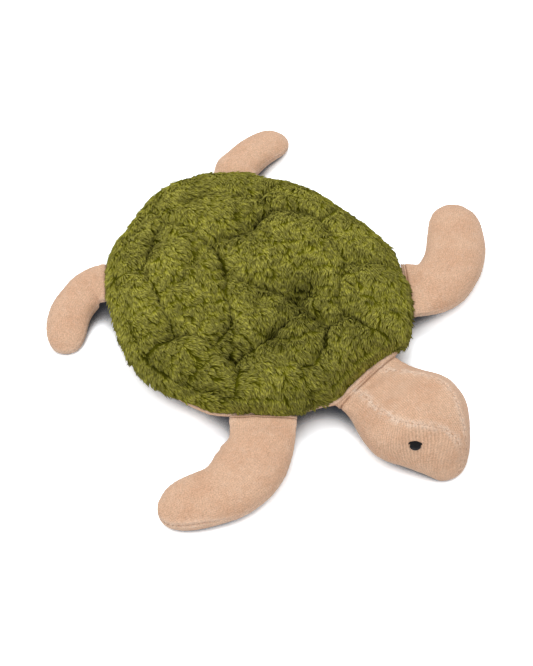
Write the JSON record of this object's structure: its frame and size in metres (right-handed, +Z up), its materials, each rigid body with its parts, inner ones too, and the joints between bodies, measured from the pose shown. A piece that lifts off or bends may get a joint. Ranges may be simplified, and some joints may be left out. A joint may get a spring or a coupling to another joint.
{
  "type": "plush turtle",
  "caption": "Sea turtle soft toy lying on its belly, with a quilted domed plush shell, velour head and flippers that flex at their root seams.",
  "frame": {"origin": "middle of the flat patch of the belly, on the surface that the toy lies on", "axes": "head towards -Y, the turtle's left side towards +X, +Z up through the shell"},
  "size_m": [0.384, 0.3498, 0.054],
  "materials": {
    "olive_plush": "long-pile plush, matt",
    "beige_velour": "short ribbed velour, matt with a soft sheen",
    "fibre_filling": "loose polyester fibre, matt",
    "eye_thread": "satin-stitched thread"
  },
  "bodies": {
    "body": {"shell_cover": "olive_plush", "belly_panel": "beige_velour", "rim_welt": "beige_velour", "body_stuffing": "fibre_filling"},
    "head": {"head_top_panel": "beige_velour", "head_right_panel": "beige_velour", "head_left_panel": "beige_velour", "head_stuffing": "fibre_filling", "eye_right": "eye_thread", "eye_left": "eye_thread"},
    "front_right_flipper": {"front_right_flipper_top": "beige_velour", "front_right_flipper_bottom": "beige_velour", "front_right_flipper_stuffing": "fibre_filling"},
    "front_left_flipper": {"front_left_flipper_top": "beige_velour", "front_left_flipper_bottom": "beige_velour", "front_left_flipper_stuffing": "fibre_filling"},
    "rear_right_flipper": {"rear_right_flipper_top": "beige_velour", "rear_right_flipper_bottom": "beige_velour", "rear_right_flipper_stuffing": "fibre_filling"},
    "rear_left_flipper": {"rear_left_flipper_top": "beige_velour", "rear_left_flipper_bottom": "beige_velour", "rear_left_flipper_stuffing": "fibre_filling"}
  },
  "joints": [
    {"name": "head_nod", "type": "hinge", "parent": "body", "child": "head", "pos_m": [-0.0038, -0.1306, 0.02], "axis": [-1, 0, 0], "range_deg": [-20, 35], "stiffness_Nm_per_rad": 0.9},
    {"name": "front_right_flipper_flap", "type": "hinge", "parent": "body", "child": "front_right_flipper", "pos_m": [-0.08501, -0.08994, 0.02], "axis": [-0.6691, 0.7431, 0], "range_deg": [-35, 60], "stiffness_Nm_per_rad": 0.6},
    {"name": "front_left_flipper_flap", "type": "hinge", "parent": "body", "child": "front_left_flipper", "pos_m": [0.08501, -0.08994, 0.02], "axis": [-0.6691, -0.7431, 0], "range_deg": [-35, 60], "stiffness_Nm_per_rad": 0.6},
    {"name": "rear_right_flipper_flap", "type": "hinge", "parent": "body", "child": "rear_right_flipper", "pos_m": [-0.07607, 0.09333, 0.02], "axis": [0.7009, 0.7133, 0], "range_deg": [-35, 60], "stiffness_Nm_per_rad": 0.3},
    {"name": "rear_left_flipper_flap", "type": "hinge", "parent": "body", "child": "rear_left_flipper", "pos_m": [0.07607, 0.09333, 0.02], "axis": [0.7009, -0.7133, 0], "range_deg": [-35, 60], "stiffness_Nm_per_rad": 0.3}
  ]
}
